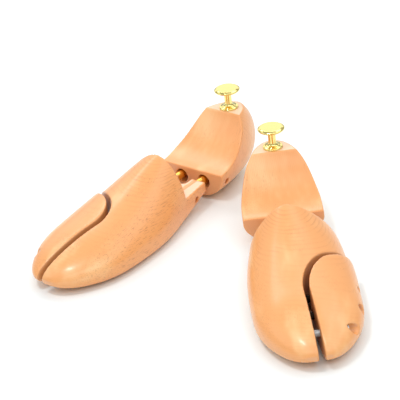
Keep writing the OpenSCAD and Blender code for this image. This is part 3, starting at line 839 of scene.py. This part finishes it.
def turned(profile, name, segments=128):
    """Piece turned about the Z axis from the outline of its right half."""
    bm = bmesh.new()
    verts = [bm.verts.new((r, 0, z)) for r, z in profile]
    edges = [bm.edges.new(pair) for pair in zip(verts, verts[1:])]
    bmesh.ops.spin(
        bm, geom=[*verts, *edges], cent=(0, 0, 0), axis=(0, 0, 1), angle=2 * math.pi, steps=segments,
        use_merge=True,
    )
    bmesh.ops.remove_doubles(bm, verts=bm.verts, dist=MERGED)
    bmesh.ops.recalc_face_normals(bm, faces=bm.faces)
    return as_object(bm, name)


def arc(centre, radius, start, end, steps=8):
    """Points of an arc in a turned outline, between two angles in degrees."""
    points = []
    for i in range(steps + 1):
        a = math.radians(start + (end - start) * i / steps)
        points.append((centre[0] + radius * math.cos(a), centre[1] + radius * math.sin(a)))
    return points


class MESH_OT_knobs(bpy.types.Operator):
    """Turned brass knobs with a round foot, a waisted neck and a flat head"""

    bl_idname = "mesh.shoe_tree_knobs"
    bl_label = "Knobs"

    def execute(self, context):
        sizes = context.scene.shoe_tree_sizes
        for side in SIDES:
            low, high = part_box(side + "_knob")
            head, height = (high.x - low.x) / 2 / MM, (high.z - low.z) / MM
            foot, neck = sizes.knob_foot_d / MM / 2, sizes.knob_neck_d / MM / 2
            under = height - HEAD_THICK
            profile = [
                (0, 0),
                (foot, 0),
                *arc((foot - FOOT_EDGE, FOOT_EDGE), FOOT_EDGE, 0, 90),
                (neck + FOOT_SLOPE[0], FOOT_SLOPE[1]),
                *arc((neck + LOW_HOLLOW, LOW_HOLLOW_Z), LOW_HOLLOW, 260, 180),
                *arc((neck + HIGH_HOLLOW, under - HIGH_HOLLOW), HIGH_HOLLOW, 180, 90),
                *arc((head - HEAD_RIM, under + HEAD_RIM), HEAD_RIM, -90, 40),
                *arc((head - CROWN_IN, height - CROWN_DROP), CROWN_ROUND, 60, 90),
                (head * CROWN_FLAT, height),
                (0, height),
            ]
            piece = turned(profile, side + "_knob_brass")
            move_mesh(piece, Matrix.Translation((-KNOB_X, 0, PLATE_Z)))
            settle(piece, side, "polished brass", "heel", "knob")
        return {"FINISHED"}


class MESH_OT_metal_parts(bpy.types.Operator):
    """Finish of the tubes, caps, pins, screws, studs and springs"""

    bl_idname = "mesh.shoe_tree_metal_parts"
    bl_label = "Tubes, pins and springs"

    def execute(self, context):
        for name, node in frame["nodes"].items():
            if node.hide_render:
                continue
            if "tube" in name:
                metal = "drawn brass"
            # The rear guide pin and the stop screw are painted near black, as shade in the gap
            elif "stop_screw" in name or "guide_pin_rear" in name:
                metal = "shade dark steel"
            else:
                metal = "zinc plated steel"
            node.data.materials.clear()
            node.data.materials.append(bpy.data.materials[metal])
        return {"FINISHED"}


# The camera was fitted to the photograph: it looks along +Y, a little turned and rolled, from 1.5 m
# away. Lens and sensor in millimetres, angles in degrees, places in metres.
CAMERA_LENS, CAMERA_SENSOR = 139.5, 36
CAMERA_PITCH, CAMERA_ROLL, CAMERA_TURN, CAMERA_DISTANCE = 28.66, 7.29, 0.36, 1.492
CAMERA_AIM = Vector((0.01516, 0.112427, 0))

# White floor, half its width and how far it lies below the soles, in metres
FLOOR_HALF, FLOOR_DROP = 4, 0.0002

# White studio: a bright backdrop behind, soft boxes all round and one small lamp for the highlights on
# the toes, each as its azimuth and elevation in degrees, distance, size in metres and power in watts
LAMP_AIM = Vector((0, 0.03, 0.03))
WORLD_LIGHT = 0.5
LAMPS = (
    ("backdrop", 90, 23, 1.8, (2.4, 0.7), 4.2),
    ("behind", 100, 46, 1.5, (1.2, 0.3), 5.0),
    ("overhead", 279, 73, 1.5, (1.0, 0.5), 1.2),
    ("front", 270, 45, 1.6, (1.2, 0.5), 3.9),
    ("left", 180, 40, 1.5, (1.0, 0.7), 2.6),
    ("front right", 315, 45, 1.5, (0.8, 0.6), 2.2),
    ("right", 10, 55, 1.5, (0.9, 0.7), 2.9),
    ("behind right", 50, 55, 1.5, (0.9, 0.7), 1.6),
    ("highlight", 225, 70, 1.5, (0.28, 0.09), 5.0),
)


def add_lamp(name, azimuth, elevation, distance, size, power):
    """Soft box that faces the shoe trees."""
    turn, rise = math.radians(azimuth), math.radians(elevation)
    away = Matrix.Rotation(turn, 3, "Z") @ Matrix.Rotation(-rise, 3, "Y") @ Vector((1, 0, 0))
    data = bpy.data.lights.new(name, "AREA")
    data.shape = "RECTANGLE"
    data.size, data.size_y = size
    data.energy = power
    lamp = bpy.data.objects.new(name, data)
    lamp.location = LAMP_AIM + distance * away
    lamp.rotation_euler = (-away).to_track_quat("-Z", "Y").to_euler()
    bpy.context.scene.collection.objects.link(lamp)


def add_camera():
    """The photograph's camera."""
    data = bpy.data.cameras.new("camera")
    data.sensor_width = CAMERA_SENSOR
    data.lens = CAMERA_LENS
    camera = bpy.data.objects.new("camera", data)
    pitch, roll, turn = (math.radians(a) for a in (CAMERA_PITCH, CAMERA_ROLL, CAMERA_TURN))
    facing = Matrix.Rotation(turn, 4, "Z")
    tilt = Matrix.Rotation(math.pi / 2 - pitch, 4, "X") @ Matrix.Rotation(-roll, 4, "Z")
    back = facing.to_3x3() @ Vector((0, -math.cos(pitch), math.sin(pitch)))
    camera.matrix_world = Matrix.Translation(CAMERA_AIM + CAMERA_DISTANCE * back) @ facing @ tilt
    bpy.context.scene.collection.objects.link(camera)
    bpy.context.scene.camera = camera


class SCENE_OT_stage(bpy.types.Operator):
    """Plain white floor, soft studio light and the photograph's camera"""

    bl_idname = "scene.shoe_tree_stage"
    bl_label = "Stage"

    def execute(self, context):
        bm = bmesh.new()
        lowered = Matrix.Translation((0, 0, -FLOOR_DROP))
        bmesh.ops.create_grid(bm, x_segments=1, y_segments=1, size=FLOOR_HALF, matrix=lowered)
        floor = as_object(bm, "floor")
        floor.data.materials.append(bpy.data.materials["matt white floor"])
        world = bpy.data.worlds.new("studio")
        world.use_nodes = True
        background = world.node_tree.nodes["Background"]
        background.inputs["Color"].default_value = (1, 1, 1, 1)
        background.inputs["Strength"].default_value = WORLD_LIGHT
        context.scene.world = world
        for lamp in LAMPS:
            add_lamp(*lamp)
        add_camera()
        context.scene.view_settings.view_transform = "Standard"
        return {"FINISHED"}


class VIEW3D_PT_shoe_trees(bpy.types.Panel):
    """Sizes, colours and pieces of the shoe trees"""

    bl_label = "Shoe trees"
    bl_space_type = "VIEW_3D"
    bl_region_type = "UI"
    bl_category = "Shoe trees"

    def draw(self, context):
        layout = self.layout
        for group in (context.scene.shoe_tree_sizes, context.scene.shoe_tree_colours):
            column = layout.column()
            for key in group.__annotations__:
                column.prop(group, key)
        for operator in OPERATORS:
            layout.operator(operator.bl_idname)


GROUPS = (ShoeTreeSizes, ShoeTreeColours)
OPERATORS = (
    MESH_OT_foreparts, MESH_OT_wedges, MESH_OT_heel_blocks, MESH_OT_knobs, MESH_OT_metal_parts,
    SCENE_OT_stage,
)


def register():
    for item in (*GROUPS, *OPERATORS, VIEW3D_PT_shoe_trees):
        bpy.utils.register_class(item)
    bpy.types.Scene.shoe_tree_sizes = PointerProperty(type=ShoeTreeSizes)
    bpy.types.Scene.shoe_tree_colours = PointerProperty(type=ShoeTreeColours)


def unregister():
    del bpy.types.Scene.shoe_tree_sizes, bpy.types.Scene.shoe_tree_colours
    for item in reversed((*GROUPS, *OPERATORS, VIEW3D_PT_shoe_trees)):
        bpy.utils.unregister_class(item)


def main():
    register()
    make_materials()
    bpy.ops.mesh.shoe_tree_foreparts()
    bpy.ops.mesh.shoe_tree_wedges()
    bpy.ops.mesh.shoe_tree_heel_blocks()
    bpy.ops.mesh.shoe_tree_knobs()
    bpy.ops.mesh.shoe_tree_metal_parts()
    bpy.ops.scene.shoe_tree_stage()


if __name__ == "__main__":
    main()
